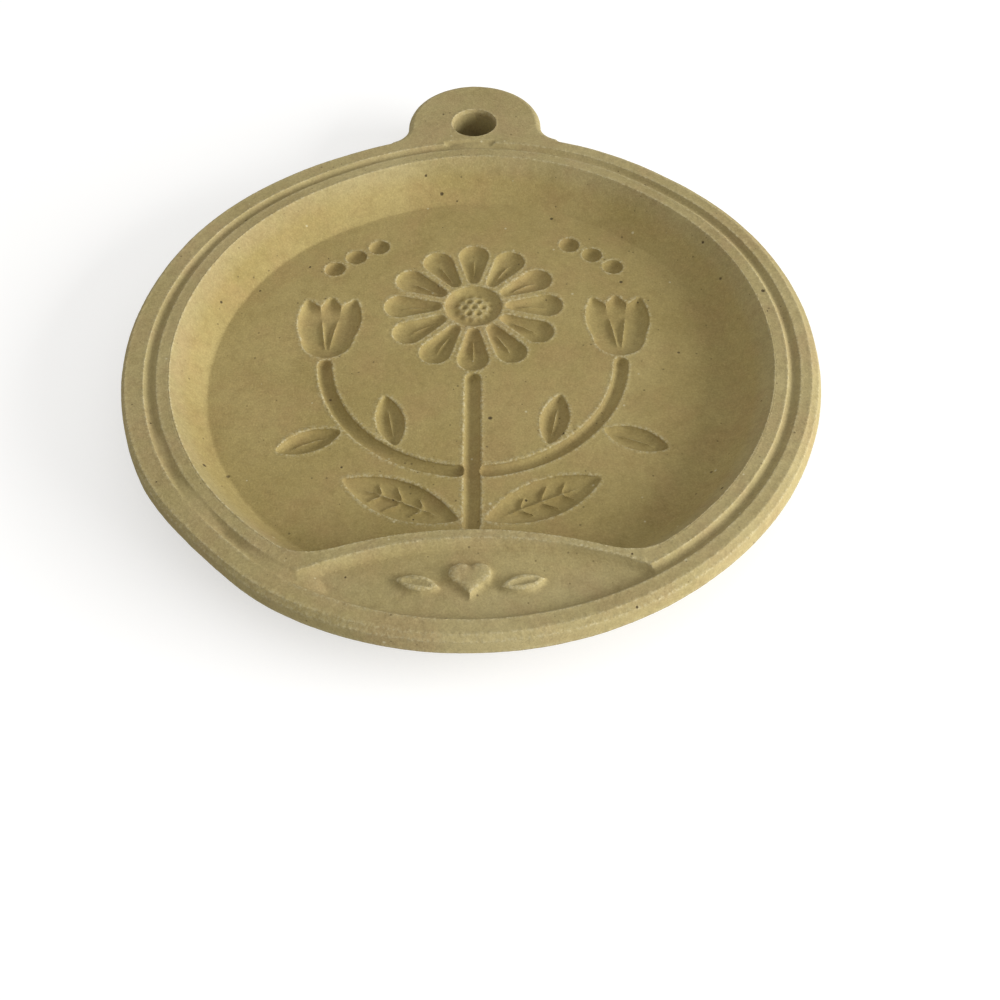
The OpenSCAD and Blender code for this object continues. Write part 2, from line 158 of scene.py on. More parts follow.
class MouldPictureSizes(bpy.types.PropertyGroup):
    """Sizes of the sunken picture and the raised motif."""

    sink: length("Depth", "Depth of the sunken shapes", 1.5 * MM)
    flower_y: length("Flower height", "Flower's centre above the disc's centre", 19 * MM)
    flower_r: length("Flower radius", "Out to the petal tips", 20.4 * MM)
    petal_count: bpy.props.IntProperty(name="Petals", description="Number of petals", default=12)
    petal_w: length("Petal width", "Width of a petal near its tip", 6.6 * MM)
    petal_base_w: length("Petal base", "Width of a petal at the button", 2.4 * MM)
    seed_r: length("Seed radius", "Radius of the button's small seeds", 0.62 * MM)
    button_r: length("Button radius", "Radius of the flower's button", 6.4 * MM)
    gap: length("Gap", "Clay between neighbouring sunken shapes", 1.2 * MM)
    stem_w: length("Stem width", "Width of the main stem", 3.2 * MM)
    branch_w: length("Side stem width", "Width of the side stems", 2.8 * MM)
    branch_r: length("Side stem curve", "Radius of the side stems' curve", 33 * MM)
    branch_y: length("Side stem height", "Upper ends above the disc's centre", 3 * MM)
    tulip_h: length("Tulip height", "Height of a tulip", 19 * MM)
    tulip_petal_w: length("Tulip petal width", "Width of one tulip petal", 7.6 * MM)
    tulip_cup_r: length("Tulip cup radius", "Radius of a tulip's round cup", 5.6 * MM)
    tulip_lean: angle("Tulip lean", "Lean of a tulip's outer petals", 17)
    leaf_len: length("Leaf length", "Length of a large leaf", 26 * MM)
    leaf_w: length("Leaf width", "Width of a large leaf", 9 * MM)
    leaf_drop: length("Leaf place", "Large leaves' base below the disc's centre", 42.5 * MM)
    leaf_rise: angle("Leaf rise", "Rise of a large leaf above the level", 24)
    small_leaf_len: length("Small leaf length", "Length of a small leaf", 14 * MM)
    small_leaf_w: length("Small leaf width", "Width of a small leaf", 5.6 * MM)
    outer_leaf_at: angle("Outer leaf place", "Angle below the side stem's upper end", 38)
    outer_leaf_turn: angle("Outer leaf turn", "Direction of the outer small leaf", -22)
    inner_leaf_at: angle("Inner leaf place", "Angle below the side stem's upper end", 58)
    inner_leaf_turn: angle("Inner leaf turn", "Direction of the inner small leaf", 78)
    vein_w: length("Vein width", "Width of the ribs along the leaves", 0.9 * MM)
    berry_r: length("Berry radius", "Radius of a berry", 2.2 * MM)
    berry_reach: length("Berry place", "Berries' distance from the disc's centre", 46 * MM)
    berry_count: bpy.props.IntProperty(name="Berries", description="Berries a side", default=3)
    berry_first: angle("Berries' start", "Angle of the first berry", 44)
    berry_pitch: length("Berry pitch", "Distance between neighbouring berries", 6.4 * MM)
    motif_h: length("Motif height", "Height of the raised motif", 1.3 * MM)
    heart_inset: length("Heart place", "From the groove's bottom up to the heart", 7.5 * MM)
    heart_side: length("Heart side", "Length of the heart's straight sides", 4.8 * MM)
    heart_swell: length("Heart swell", "How far its lobes stand proud of its sides", 0.2 * MM)
    panel_leaf_len: length("Panel leaf length", "Length of a panel leaf", 9 * MM)
    panel_leaf_w: length("Panel leaf width", "Width of a panel leaf", 4 * MM)
    panel_leaf_rise: angle("Panel leaf rise", "Rise of a panel leaf above the level", 12)


class MouldClay(bpy.types.PropertyGroup):
    """Colours and surface of the fired clay."""

    clay: colour("Clay", "Main colour of the fired clay", (0.318, 0.259, 0.112))
    clay_pale: colour("Pale clay", "Clay where it is rubbed pale", (0.395, 0.328, 0.160))
    clay_rosy: colour("Rosy clay", "Clay where the fire has turned it a little pink", (0.340, 0.252, 0.122))
    # Brown clay: the colour of the clay's darker brown mottling, and also of the painted shade in its creases and
    # corners.
    clay_brown_and_crease_shade: colour("Brown clay", "Clay where it has taken up dirt", (0.215, 0.158, 0.060))
    # Painted shade: the insides of the small pits are painted near black.
    shaded_pit: colour("Pit", "Inside of the small pits", (0.085, 0.062, 0.028))
    # Painted shade: a warmer, darker tint multiplied over the whole inside of the bowl.
    bowl_shade_tint: colour("Patina", "Warm tint of the bowl's inside", (0.98, 0.94, 0.80))
    fleck: colour("Fleck", "Pale grains in the clay", (0.480, 0.425, 0.255))
    voxel: length("Clay fineness", "Size of the finest facet", 0.31 * MM, 0.2 * MM, 2 * MM)
    quick_voxel: length("Quick fineness", "The same while trying things", 0.6 * MM)
    wobble: length("Wobble", "Unevenness of the hand-finished surface", 0.28 * MM)
    soften: bpy.props.IntProperty(
        name="Softness", description="How often the edges are rubbed round", default=3, min=0,
    )
    # The rubbed edges also carry a painted highlight, and the dirty corners are painted shade in creases and corners.
    edge_and_crease_reach: length("Wear reach", "How wide the rubbed edges and the dirty corners are", 1.1 * MM)


class MouldStage(bpy.types.PropertyGroup):
    """Camera and light."""

    elevation: angle("Camera elevation", "How steeply the camera looks down", 52.797)
    roll: angle("Camera roll", "Turn about the line of sight", 0.502)
    camera_x: length("Camera right", "Camera's place along X", 5.737 * MM, -1)
    camera_y: length("Camera back", "Camera's place along Y", -181.916 * MM, -1)
    camera_z: length("Camera height", "Camera's place along Z", 196.422 * MM)
    focal_px: bpy.props.FloatProperty(
        name="Focal length", description="In pixels of the 1000 pixel wide picture", default=1180,
    )
    lamp_place: bpy.props.FloatVectorProperty(
        name="Lamp", description="Where the soft window light stands",
        default=(0.93, -0.29, 0.27), subtype="TRANSLATION",
    )
    lamp_w: length("Lamp width", "Width of the window light", 0.9)
    lamp_h: length("Lamp height", "Height of the window light", 0.5)
    lamp_power: bpy.props.FloatProperty(
        name="Lamp power", description="Power of the window light", default=16.2, unit="POWER",
    )
    room_light: bpy.props.FloatProperty(
        name="Room light", description="Strength of the even light from all sides", default=0.65,
    )


def deselect():
    """Nothing is selected afterwards."""
    for item in bpy.context.view_layer.objects:
        item.select_set(False)


def choose(item):
    """Only this object is selected and active."""
    deselect()
    item.select_set(True)
    bpy.context.view_layer.objects.active = item


def named(name):
    """The object that was just added, under its own name."""
    item = bpy.context.object
    item.name = name
    item.data.name = name
    return item


def settle(item):
    """The object's place, turn and scale go into its mesh."""
    choose(item)
    bpy.ops.object.transform_apply(location=True, rotation=True, scale=True)
    return item


def discard(*items):
    """The objects and their meshes are deleted."""
    for item in items:
        mesh = item.data
        bpy.data.objects.remove(item)
        bpy.data.meshes.remove(mesh)


def twin(item, name):
    """A copy with its own mesh."""
    choose(item)
    bpy.ops.object.duplicate()
    return named(name)


def apply(item, kind, **settings):
    """Adds a modifier with these settings and applies it."""
    choose(item)
    modifier = item.modifiers.new(kind.lower(), kind)
    for key, value in settings.items():
        setattr(modifier, key, value)
    bpy.ops.object.modifier_apply(modifier=modifier.name)
    return item


def combine(item, other, operation, keep=False):
    """Joins, cuts or keeps the overlap of item with another closed solid."""
    apply(item, "BOOLEAN", object=other, operation=operation, solver="MANIFOLD")
    if len(item.data.vertices) == 0:
        raise RuntimeError(f"{operation} with {other.name} left nothing of {item.name}")
    if not keep:
        discard(other)
    return item


def tidy_normals(item):
    """Doubles merged and faces turned outwards."""
    choose(item)
    bpy.ops.object.mode_set(mode="EDIT")
    bpy.ops.mesh.select_all(action="SELECT")
    bpy.ops.mesh.remove_doubles(threshold=1e-6)
    bpy.ops.mesh.normals_make_consistent(inside=False)
    bpy.ops.object.mode_set(mode="OBJECT")
    return item


def flat_shape(name, points, z=0.0):
    """A flat face with this outline."""
    mesh = bpy.data.meshes.new(name)
    mesh.from_pydata([(x, y, z) for x, y in points], [], [tuple(range(len(points)))])
    item = bpy.data.objects.new(name, mesh)
    bpy.context.scene.collection.objects.link(item)
    choose(item)
    return item


def prism(name, points, low, high):
    """A closed solid with this outline between two heights."""
    item = flat_shape(name, points, low)
    bpy.ops.object.mode_set(mode="EDIT")
    bpy.ops.mesh.select_all(action="SELECT")
    bpy.ops.mesh.extrude_region_move(TRANSFORM_OT_translate={"value": (0, 0, high - low)})
    bpy.ops.object.mode_set(mode="OBJECT")
    return tidy_normals(item)


def lofted(name, loops):
    """A closed solid through (outline, height) loops of equal counts."""
    count = len(loops[0][0])
    verts = [(x, y, z) for outline, z in loops for x, y in outline]
    edges = []
    for start in range(0, len(verts), count):
        edges += [(start + i, start + (i + 1) % count) for i in range(count)]
    mesh = bpy.data.meshes.new(name)
    mesh.from_pydata(verts, edges, [])
    item = bpy.data.objects.new(name, mesh)
    bpy.context.scene.collection.objects.link(item)
    choose(item)
    bpy.ops.object.mode_set(mode="EDIT")
    bpy.ops.mesh.select_mode(type="EDGE")
    bpy.ops.mesh.select_all(action="SELECT")
    bpy.ops.mesh.bridge_edge_loops()
    bpy.ops.mesh.select_all(action="SELECT")
    bpy.ops.mesh.fill_holes(sides=0)
    bpy.ops.object.mode_set(mode="OBJECT")
    return tidy_normals(item)


def turned(name, section, centre=(0.0, 0.0), steps=256):
    """A closed solid turned from a half section of radii and heights."""
    mesh = bpy.data.meshes.new(name)
    verts = [(centre[0] + r, centre[1], z) for r, z in section]
    mesh.from_pydata(verts, [(i, i + 1) for i in range(len(verts) - 1)], [])
    item = bpy.data.objects.new(name, mesh)
    bpy.context.scene.collection.objects.link(item)
    choose(item)
    bpy.ops.object.mode_set(mode="EDIT")
    bpy.ops.mesh.select_all(action="SELECT")
    bpy.ops.mesh.spin(steps=steps, angle=2 * math.pi, center=(*centre, 0), axis=(0, 0, 1))
    bpy.ops.object.mode_set(mode="OBJECT")
    return tidy_normals(item)


def post(name, radius, low, high, x=0.0, y=0.0, top_radius=None, steps=256):
    """An upright cylinder or cone between two heights."""
    bpy.ops.mesh.primitive_cone_add(
        vertices=steps, radius1=radius, radius2=radius if top_radius is None else top_radius,
        depth=high - low, location=(x, y, (low + high) / 2),
    )
    return settle(named(name))


def block(name, low, high):
    """A box between two corners."""
    low, high = Vector(low), Vector(high)
    bpy.ops.mesh.primitive_cube_add(size=1, location=(low + high) / 2)
    item = named(name)
    item.scale = high - low
    return settle(item)


def pebble(name, centre, radii, turn=0.0, rings=24):
    """An ellipsoid that hollows out a rounded shape."""
    bpy.ops.mesh.primitive_uv_sphere_add(segments=2 * rings, ring_count=rings, radius=1)
    item = named(name)
    item.scale = radii
    item.rotation_euler = (0, 0, turn)
    item.location = centre
    return settle(item)


def arc(centre, radius, start, end, steps):
    """Points on a circle between two angles in radians."""
    return [
        (
            centre[0] + radius * math.cos(start + (end - start) * i / steps),
            centre[1] + radius * math.sin(start + (end - start) * i / steps),
        )
        for i in range(steps + 1)
    ]


def sizes():
    """The scene's sizes and colours."""
    scene = bpy.context.scene
    return scene.mould_body, scene.mould_picture, scene.mould_clay, scene.mould_stage


def ridge_axis_y():
    """Where the ridge's arc has its centre."""
    body = sizes()[0]
    return RIDGE_FOOT_Y - body.ridge_bowl_run - body.ridge_arc_r


def lug_y():
    """Where the hanging hole has its centre."""
    return LUG_END_Y - sizes()[0].lug_r


def core_radius(body):
    """The radius at which the flat band ends and the worn bevel starts."""
    return DISC_R - body.side_w - body.bevel_w


def side_points(body):
    """The body's sloping side, from the flat back up to its widest place."""
    foot_r = DISC_R - body.foot_inset
    widest_z = RIM_Z - body.side_drop
    turn_r = DISC_R - body.side_w / 2
    slope = math.atan2(widest_z - body.side_w, turn_r - foot_r)
    bevel = body.foot_bevel
    return [
        (0, 0), (foot_r - bevel, 0),
        (foot_r + bevel * math.cos(slope), bevel * math.sin(slope)),
        (turn_r, widest_z - body.side_w), (DISC_R, widest_z),
    ]


def body_section(body):
    """Half section of the disc with its groove and a flat top."""
    half = body.groove_floor / 2
    return side_points(body) + [
        (DISC_R, RIM_Z),
        (GROOVE_R + body.groove_outer_run, RIM_Z),
        (GROOVE_R + half, PANEL_Z + body.groove_fill),
        (GROOVE_R - half, PANEL_Z + body.groove_fill),
        (GROOVE_R - body.groove_inner_run, RIM_Z),
        (0, RIM_Z),
    ]


def edge_cap(body):
    """The space below the worn edge, whose bevel is wide on the right and narrow on the left."""
    x, y = body.bevel_shift
    side_r = DISC_R - body.side_w + math.hypot(x, y) / 2
    top_r = core_radius(body) + math.hypot(x, y)
    circles = [
        (0, 0, DISC_R + ABOVE, -ABOVE), (0, 0, DISC_R + ABOVE, RIM_Z - body.side_drop - ABOVE),
        (0, 0, DISC_R, RIM_Z - body.side_drop), (x / 2, y / 2, side_r, RIM_Z - body.bevel_drop),
        (x, y, top_r, RIM_Z),
    ]
    return lofted("edge_cap", [(circle_outline(x, y, r, 360), z) for x, y, r, z in circles])


def lug_boss(body):
    """The lug's round end, with a rounded upper edge."""
    edge_r = body.lug_r - body.edge_round
    edge_z = RIM_Z - body.edge_round
    section = [(0, 0), (body.lug_r - body.lug_taper, 0)]
    section += arc((edge_r, edge_z), body.edge_round, 0, math.pi / 2, 12)
    section += [(0, RIM_Z)]
    return turned("lug_boss", section, centre=(0, lug_y()), steps=128)


def lug_neck(body):
    """The neck between the lug and the disc, with a hollow curve on both sides."""
    reach = DISC_R + body.lug_fillet_r
    lug_reach = body.lug_r + body.lug_fillet_r
    y = lug_y()
    fillet_y = (reach ** 2 + y ** 2 - lug_reach ** 2) / (2 * y)
    fillet_x = math.sqrt(reach ** 2 - fillet_y ** 2)
    outline = [(0, 0), (fillet_x, fillet_y), (0, y), (-fillet_x, fillet_y)]
    neck = prism("lug_neck", outline, RIM_Z - body.neck_h, RIM_Z)
    flare_r = body.lug_fillet_r + body.edge_round
    flare = arc((flare_r, RIM_Z - body.edge_round), -body.edge_round, 0, -math.pi / 2, 12)
    section = [(0, 0), (body.lug_fillet_r, 0)] + flare
    section += [(flare_r, RIM_Z + ABOVE), (0, RIM_Z + ABOVE)]
    for side in (-1, 1):
        cutter = turned("neck_fillet", section, centre=(side * fillet_x, fillet_y), steps=96)
        combine(neck, cutter, "DIFFERENCE")
    return neck


def disc_core(body):
    """The disc's own part where the lug joins it."""
    core_r = core_radius(body)
    origin, edge, low, high, widest = side_points(body)
    share = (core_r - low[0]) / (high[0] - low[0])
    section = [(0, -ABOVE), edge, low, (core_r, low[1] + share * (high[1] - low[1]))]
    return turned("disc_core", section + [(core_r, RIM_Z + ABOVE), (0, RIM_Z + ABOVE)])


def soft_min(a, b, blend):
    """The smaller of two lengths, rounded where they are close."""
    near = max(blend - abs(a - b), 0)
    return min(a, b) - near * near / (4 * blend)


def wall_radius(body, rise):
    """The bowl wall's radius at a share of its height, along a hollow arc."""
    top_r = LIP_R - body.lip_in
    run = top_r - FLOOR_R
    depth = RIM_Z - FIELD_Z
    chord = math.hypot(run, depth)
    height = math.sqrt(body.wall_hollow_r ** 2 - chord ** 2 / 4)
    centre_r = (FLOOR_R + top_r) / 2 - height * depth / chord
    centre_z = (FIELD_Z + RIM_Z) / 2 + height * run / chord
    z = FIELD_Z + rise * depth
    return centre_r + math.sqrt(body.wall_hollow_r ** 2 - (z - centre_z) ** 2)


def bowl_loop(body, rise, count=240):
    """The bowl's outline at a share of its height, with its two corners rounded."""
    axis_y = ridge_axis_y()
    low = 1 - min(rise, 1)
    wall_r = wall_radius(body, 1 - low)
    ridge_r = body.ridge_arc_r + body.ridge_bowl_run * low
    blend = body.corner_blend * (1 - 0.4 * low)
    shift_x, shift_y = (low * shift for shift in body.floor_shift)

    def room(x, y):
        wall = wall_r - math.hypot(x - shift_x, y - shift_y)
        return soft_min(wall, math.hypot(x, y - axis_y) - ridge_r, blend)

    points = []
    for i in range(count):
        turn = 2 * math.pi * i / count
        near, far = 0.0, 2 * DISC_R
        for _ in range(40):
            middle = (near + far) / 2
            if room(middle * math.cos(turn), middle * math.sin(turn)) > 0:
                near = middle
            else:
                far = middle
        points.append((near * math.cos(turn), near * math.sin(turn)))
    return points


def bowl_hollow(body):
    """What is hollowed out of the disc for the bowl."""
    rises = [0, 0.12, 0.25, 0.4, 0.55, 0.7, 0.85, 1, 1.2]
    depth = RIM_Z - FIELD_Z
    return lofted("bowl_hollow", [(bowl_loop(body, rise), FIELD_Z + rise * depth) for rise in rises])


def panel_radius(body):
    """The radius of the ridge's slope where it meets the small panel."""
    return body.ridge_arc_r - body.ridge_w - body.ridge_panel_run


def panel_hollow(body):
    """What is hollowed out for the small panel below the ridge."""
    depth = RIM_Z - PANEL_Z
    grow = (depth + ABOVE) / depth
    hollow = post(
        "panel_hollow", GROOVE_R, PANEL_Z, RIM_Z + ABOVE,
        top_radius=GROOVE_R + body.groove_outer_run * grow,
    )
    low_r = panel_radius(body)
    top_r = low_r + body.ridge_panel_run * grow
    top_x = body.panel_shift + (body.panel_top_shift - body.panel_shift) * grow
    circles = [(low_r, body.panel_shift, PANEL_Z), (top_r, top_x, RIM_Z + ABOVE)]
    lens = lofted("panel_lens", [(circle_outline(x, ridge_axis_y(), r, 360), z) for r, x, z in circles])
    return combine(hollow, lens, "INTERSECT")


def lug_dip(body):
    """The gentle slope that takes the groove's outer wall up to the lug."""
    grow = (RIM_Z - PANEL_Z + ABOVE) / (RIM_Z - PANEL_Z)
    foot = (GROOVE_R, PANEL_Z)
    ring = turned("lug_dip", [foot, (GROOVE_R + body.dip_run * grow, RIM_Z + ABOVE), (GROOVE_R, RIM_Z + ABOVE), foot])
    loops = []
    for z in (PANEL_Z - ABOVE, RIM_Z + 2 * ABOVE):
        half = body.dip_len / 2 - body.dip_end * (RIM_Z - z) / (RIM_Z - PANEL_Z)
        low, high = -body.dip_shift - half, -body.dip_shift + half
        loops.append(([(low, 0), (high, 0), (high, LUG_END_Y), (low, LUG_END_Y)], z))
    return combine(ring, lofted("dip_span", loops), "INTERSECT")


# Places where clay half fills the groove: the angle round the rim in degrees,
# and in millimetres half the fill's length and the depth that it leaves
FILLS = ((205, 12, 0.45), (219, 15, 0.1), (238, 14, 0.1), (91, 10, 0.25))


def groove_fill(body, turn, half, depth):
    """Clay that half fills the groove around one place."""
    high = 2 * (RIM_Z - PANEL_Z)
    centre = (GROOVE_R * math.cos(turn), GROOVE_R * math.sin(turn), RIM_Z - depth - high)
    return pebble("groove_fill", centre, (half, body.fill_w / 2, high), turn + math.pi / 2)


class MOULD_OT_clay_body(bpy.types.Operator):
    """Model the disc with its groove, bowl, small panel, lug and hanging hole"""

    bl_idname = "mould.clay_body"
    bl_label = "Clay body"

    def execute(self, context):
        body = sizes()[0]
        lump = turned("clay_body", body_section(body))
        combine(lump, edge_cap(body), "INTERSECT")
        lug = combine(lug_boss(body), lug_neck(body), "UNION")
        combine(lug, disc_core(body), "DIFFERENCE")
        combine(lump, lug, "UNION")
        for hollow in (lug_dip(body), bowl_hollow(body), panel_hollow(body)):
            combine(lump, hollow, "DIFFERENCE")
        for turn, half, depth in FILLS:
            combine(lump, groove_fill(body, math.radians(turn), half * MM, depth * MM), "UNION")
        y = lug_y()
        combine(lump, post("hole", body.hole_r, -ABOVE, RIM_Z + ABOVE, y=y, steps=96), "DIFFERENCE")
        grow = 1 + ABOVE / body.mouth_depth
        low = circle_outline(0, y, body.hole_r, 96)
        top = circle_outline(
            body.mouth_shift[0] * grow, y + body.mouth_shift[1] * grow, body.hole_r + body.mouth_run * grow, 96,
        )
        mouth = lofted("mouth", [(low, RIM_Z - body.mouth_depth), (top, RIM_Z + ABOVE)])
        combine(lump, mouth, "DIFFERENCE")
        return {"FINISHED"}


def circle_outline(x, y, radius, count=48):
    """A round outline."""
    return arc((x, y), radius, 0, 2 * math.pi, count)[:-1]


def leaf_outline(size, width, count=20):
    """A leaf with two pointed ends, from the origin along +X."""
    arc_r = (size ** 2 + width ** 2) / (4 * width)
    half = math.asin(size / 2 / arc_r)
    upper = arc((size / 2, width / 2 - arc_r), arc_r, math.pi / 2 + half, math.pi / 2 - half, count)
    lower = arc((size / 2, arc_r - width / 2), arc_r, -math.pi / 2 + half, -math.pi / 2 - half, count)
    return upper[:-1] + lower[:-1]


def petal_outline(picture, count=14):
    """A petal with a round tip and a narrow base, along +X from the flower's centre."""
    tip_r = picture.petal_w / 2
    base_r = picture.petal_base_w / 2
    tip_x = picture.flower_r - tip_r
    base_x = picture.button_r + picture.gap + base_r
    lean = math.acos((tip_r - base_r) / (tip_x - base_x))
    tip = arc((tip_x, 0), tip_r, -lean - (math.pi - 2 * lean), lean + (math.pi - 2 * lean), count)
    base = arc((base_x, 0), base_r, math.pi - lean, math.pi + lean, count // 2)
    return tip + base


def band_outline(centre, radius, half, start, end, count=40):
    """A bent band with round ends, along an arc."""
    outer = arc(centre, radius + half, start, end, count)
    inner = arc(centre, radius - half, end, start, count)
    first, last = arc(centre, radius, start, end, 1)
    cap_end = arc(last, half, end, end + math.pi, 8)[1:-1]
    cap_start = arc(first, half, start + math.pi, start + 2 * math.pi, 8)[1:-1]
    return outer + cap_end + inner + cap_start


def bar_outline(x, low, high, half):
    """An upright bar with round ends."""
    return arc((x, high - half), half, 0, math.pi, 12) + arc((x, low + half), half, math.pi, 2 * math.pi, 12)


def placed(outline, x=0.0, y=0.0, turn=0.0, mirror=False):
    """An outline turned about the origin, moved, and mirrored to the left half if wanted."""
    cos, sin = math.cos(turn), math.sin(turn)
    points = [(x + px * cos - py * sin, y + px * sin + py * cos) for px, py in outline]
    if mirror:
        points = [(-px, py) for px, py in reversed(points)]
    return points


def on_branch(picture, at, side, turn, outline, mirror):
    """Places an outline on a side stem, at an angle below its upper end."""
    reach = picture.branch_r + side
    return placed(
        outline, reach * math.cos(-at), picture.branch_y + reach * math.sin(-at), turn, mirror,
    )


def tulip_outlines(picture, mirror):
    """A tulip's round cup and its three petals."""
    x, y = picture.branch_r, picture.branch_y
    petal = leaf_outline(picture.tulip_h, picture.tulip_petal_w)
    turns = [math.pi / 2 + lean * picture.tulip_lean for lean in (-1, 1, 0)]
    cup = circle_outline(0, picture.tulip_cup_r, picture.tulip_cup_r)
    return [placed(cup, x, y, 0, mirror)] + [placed(petal, x, y, turn, mirror) for turn in turns]


def picture_outlines(picture):
    """The outlines of the sunken shapes, for each member of the picture."""
    petal = petal_outline(picture)
    turns = [math.pi / 2 + 2 * math.pi * i / picture.petal_count for i in range(picture.petal_count)]
    stem_top = picture.flower_y - picture.flower_r - picture.gap
    members = {
        "flower_button": [circle_outline(0, picture.flower_y, picture.button_r)],
        "flower_petals": [placed(petal, 0, picture.flower_y, turn) for turn in turns],
        "main_stem": [bar_outline(0, RIDGE_FOOT_Y + picture.gap, stem_top, picture.stem_w / 2)],
    }
    leaf = leaf_outline(picture.leaf_len, picture.leaf_w)
    small_leaf = leaf_outline(picture.small_leaf_len, picture.small_leaf_w)
    leaf_start = picture.stem_w / 2 + picture.gap
    half = picture.branch_w / 2
    side = half + picture.gap
    first = -math.pi / 2 + (picture.stem_w / 2 + half) / picture.branch_r
    last = -(half + picture.gap) / picture.branch_r
    branch = band_outline((0, picture.branch_y), picture.branch_r, half, first, last)
    step = picture.berry_pitch / picture.berry_reach
    for name, mirror in (("left", True), ("right", False)):
        members[f"side_stem_{name}"] = [placed(branch, mirror=mirror)]
        members[f"tulip_{name}"] = tulip_outlines(picture, mirror)
        members[f"large_leaf_{name}"] = [
            placed(leaf, leaf_start, -picture.leaf_drop, picture.leaf_rise, mirror)
        ]
        members[f"small_leaves_{name}"] = [
            on_branch(picture, picture.outer_leaf_at, side, picture.outer_leaf_turn, small_leaf, mirror),
            on_branch(picture, picture.inner_leaf_at, -side, picture.inner_leaf_turn, small_leaf, mirror),
        ]
        members[f"berries_{name}"] = [
            placed(
                circle_outline(
                    picture.berry_reach * math.cos(picture.berry_first + i * step),
                    picture.berry_reach * math.sin(picture.berry_first + i * step),
                    picture.berry_r, 32,
                ),
                mirror=mirror,
            )
            for i in range(picture.berry_count)
        ]
    return members


def dish(name, outline, depth, fullness=0.45, steps=9):
    """A rounded hollow's solid: the outline shrinks to its middle as it goes down."""
    mid_x = sum(x for x, _ in outline) / len(outline)
    mid_y = sum(y for _, y in outline) / len(outline)
    loops = [(outline, FIELD_Z + ABOVE), (outline, FIELD_Z)]
    for i in range(1, steps):
        bend = math.pi / 2 * i / steps
        share = math.cos(bend) ** fullness
        loop = [(mid_x + (x - mid_x) * share, mid_y + (y - mid_y) * share) for x, y in outline]
        loops.append((loop, FIELD_Z - depth * math.sin(bend) ** 0.8))
    return lofted(name, loops)


def rib(name, start, end, half, top_z, height):
    """A long rounded ridge between two points, whose crest is at a height."""
    (x0, y0), (x1, y1) = start, end
    reach = math.hypot(x1 - x0, y1 - y0) / 2
    centre = ((x0 + x1) / 2, (y0 + y1) / 2, top_z - height)
    return pebble(name, centre, (reach, half, height), math.atan2(y1 - y0, x1 - x0), rings=14)


def along(outline_place, start, end):
    """Two points on a placed leaf's middle line."""
    return placed([start, end], **outline_place)


def channel(name, outline, middle, half, depth):
    """A round-bottomed channel's solid, whose outline is pulled in to its middle line as it goes down."""
    loops = [(outline, FIELD_Z + ABOVE), (outline, FIELD_Z)]
    for bend in (0.35, 0.7, 1.0, 1.25):
        share = math.cos(bend)
        loop = [middle(x, y, share) for x, y in outline]
        loops.append((loop, FIELD_Z - depth * math.sin(bend)))
    return lofted(name, loops)


